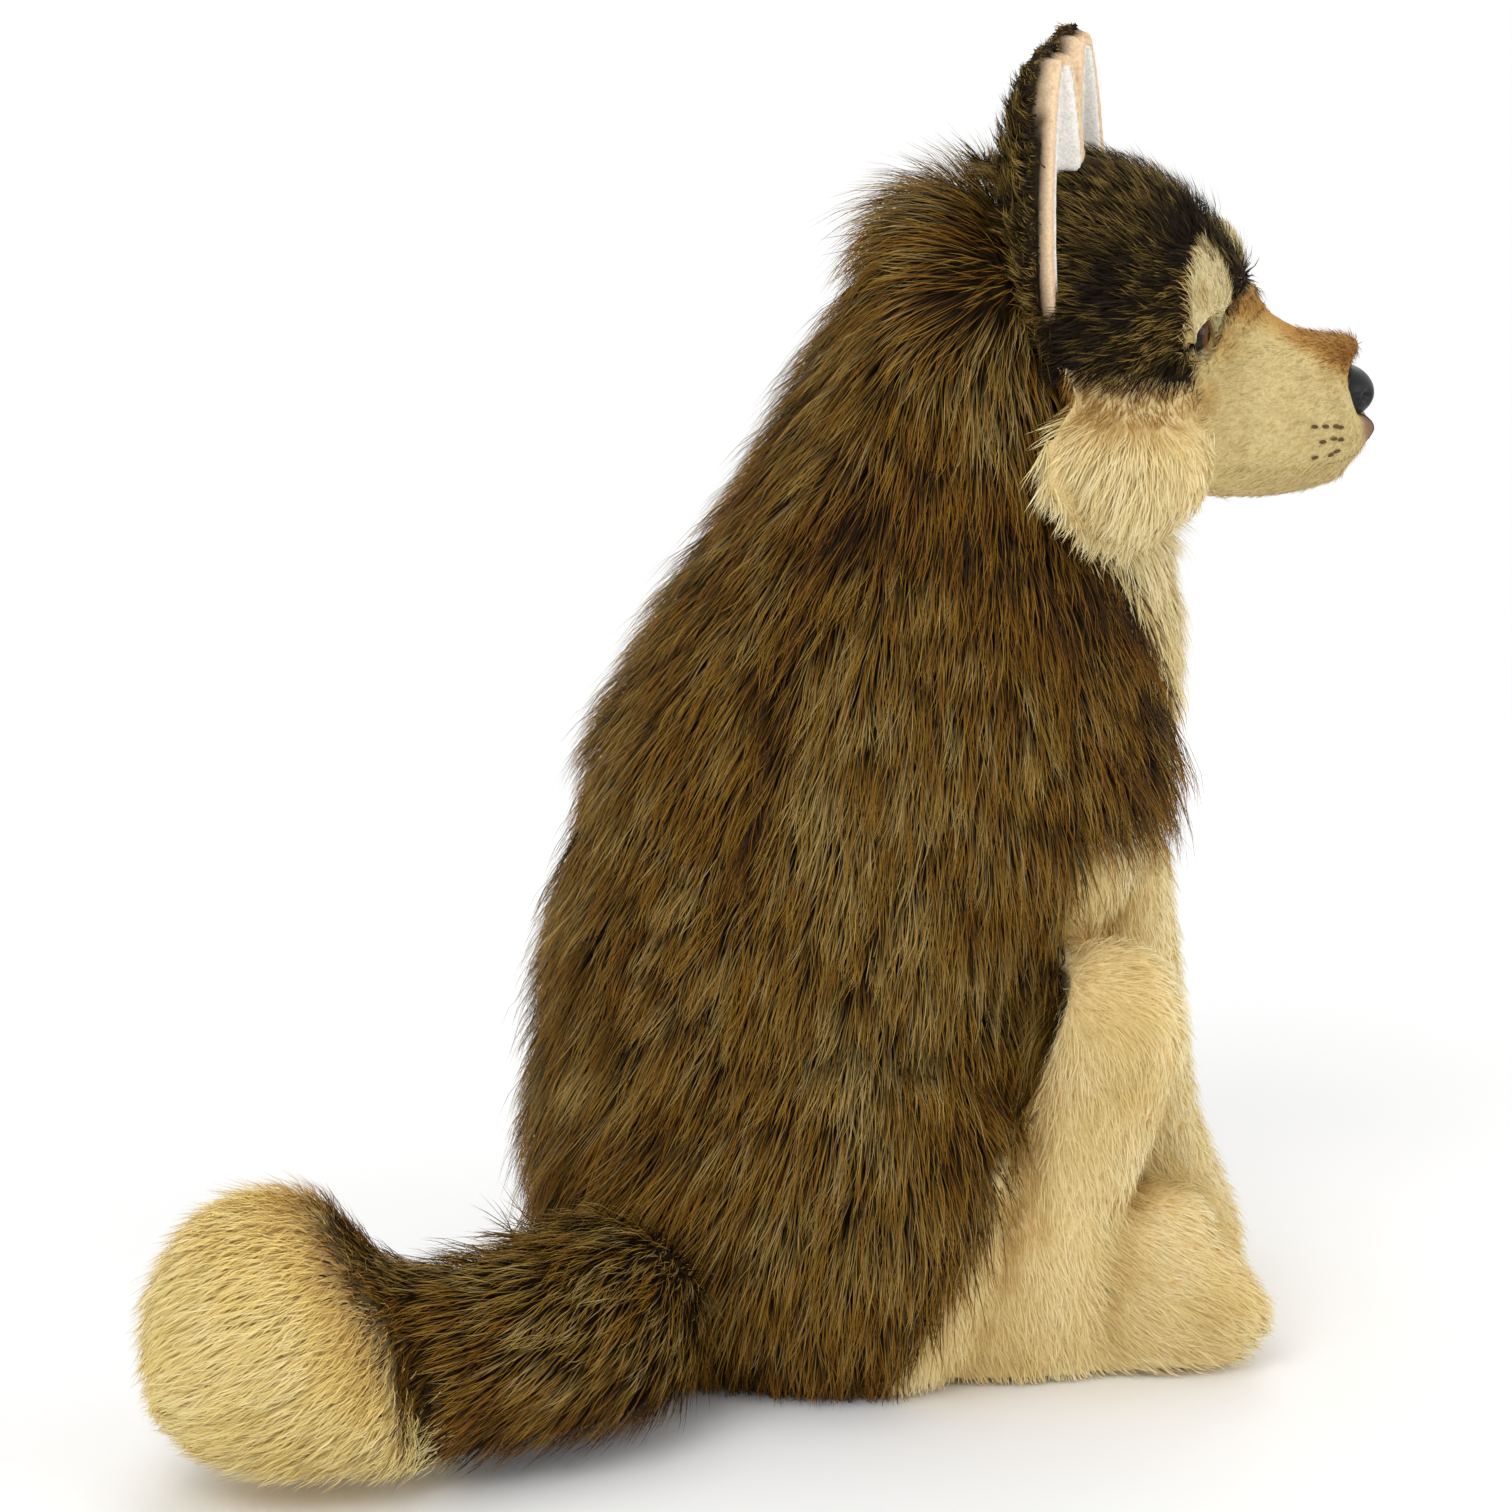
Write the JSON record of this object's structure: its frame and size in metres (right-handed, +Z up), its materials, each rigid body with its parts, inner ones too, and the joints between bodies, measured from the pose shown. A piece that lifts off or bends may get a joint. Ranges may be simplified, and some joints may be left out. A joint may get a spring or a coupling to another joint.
{
  "type": "plush wolf",
  "caption": "Stuffed toy wolf sitting upright, with a turned head, upright lined ears, a pale bib and legs, and a brush tail laid round its right side.",
  "frame": {"origin": "on the floor, in the flat underside of the body, under the middle of the sitting wolf", "axes": "+Z up, -Y the way the body faces, -X towards the wolf's own right side"},
  "size_m": [0.2299, 0.3566, 0.3862],
  "materials": {
    "mantle_fur": "long dark brown acrylic pile with tan tips",
    "cream_fur": "cream acrylic pile of medium length",
    "muzzle_pile": "very short khaki cream pile, airbrushed tan along the bridge",
    "ear_lining": "short white plush with a peach rim",
    "nose_plastic": "satin black",
    "eye_plastic": "polished dark brown",
    "washer_plastic": "plain white"
  },
  "bodies": {
    "root": {"body": "mantle_fur", "haunch_right": "mantle_fur", "haunch_left": "mantle_fur", "chest_bib": "cream_fur", "foreleg_right": "cream_fur", "foreleg_left": "cream_fur", "hind_leg_right": "cream_fur", "hind_leg_left": "cream_fur", "hind_foot_right": "cream_fur", "hind_foot_left": "cream_fur", "tail": "mantle_fur", "tail_tip": "cream_fur", "head": "mantle_fur", "muzzle": "muzzle_pile", "cheek_ruff_right": "cream_fur", "cheek_ruff_left": "cream_fur", "eye_patch_right": "muzzle_pile", "eye_patch_left": "muzzle_pile", "ear_right": "mantle_fur", "ear_left": "mantle_fur", "ear_lining_right": "ear_lining", "ear_lining_left": "ear_lining", "nose": "nose_plastic", "eye_right": "eye_plastic", "eye_left": "eye_plastic", "nose_washer": "washer_plastic", "eye_washer_right": "washer_plastic", "eye_washer_left": "washer_plastic"}
  },
  "joints": []
}
